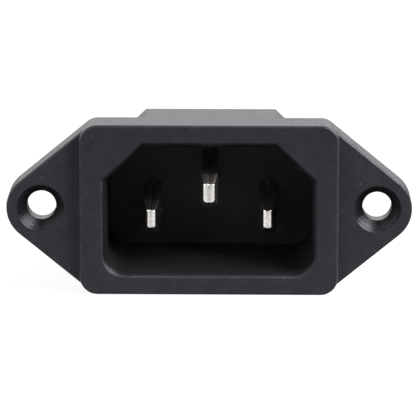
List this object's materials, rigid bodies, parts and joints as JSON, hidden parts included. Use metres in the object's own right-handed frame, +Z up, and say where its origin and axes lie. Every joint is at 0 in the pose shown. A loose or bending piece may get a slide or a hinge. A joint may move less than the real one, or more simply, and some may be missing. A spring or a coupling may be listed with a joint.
{
  "type": "panel mount power inlet",
  "caption": "Screw-flange appliance inlet with a keyed cavity, folded contact blades and rear quick-connect tabs.",
  "frame": {"origin": "centre of the screw hole pattern, on the flange's rear face that seats on the panel", "axes": "+X across the panel from the line side to the neutral side, +Y into the panel, +Z up; the connector comes in along +Y"},
  "size_m": [0.0482, 0.0267, 0.0206],
  "materials": {
    "black_nylon": "fine satin moulding",
    "plated_contacts": "bright nickel plate"
  },
  "bodies": {
    "root": {"housing": "black_nylon", "rear_cover": "black_nylon", "line_pin": "plated_contacts", "neutral_pin": "plated_contacts", "earth_pin": "plated_contacts"}
  },
  "joints": []
}
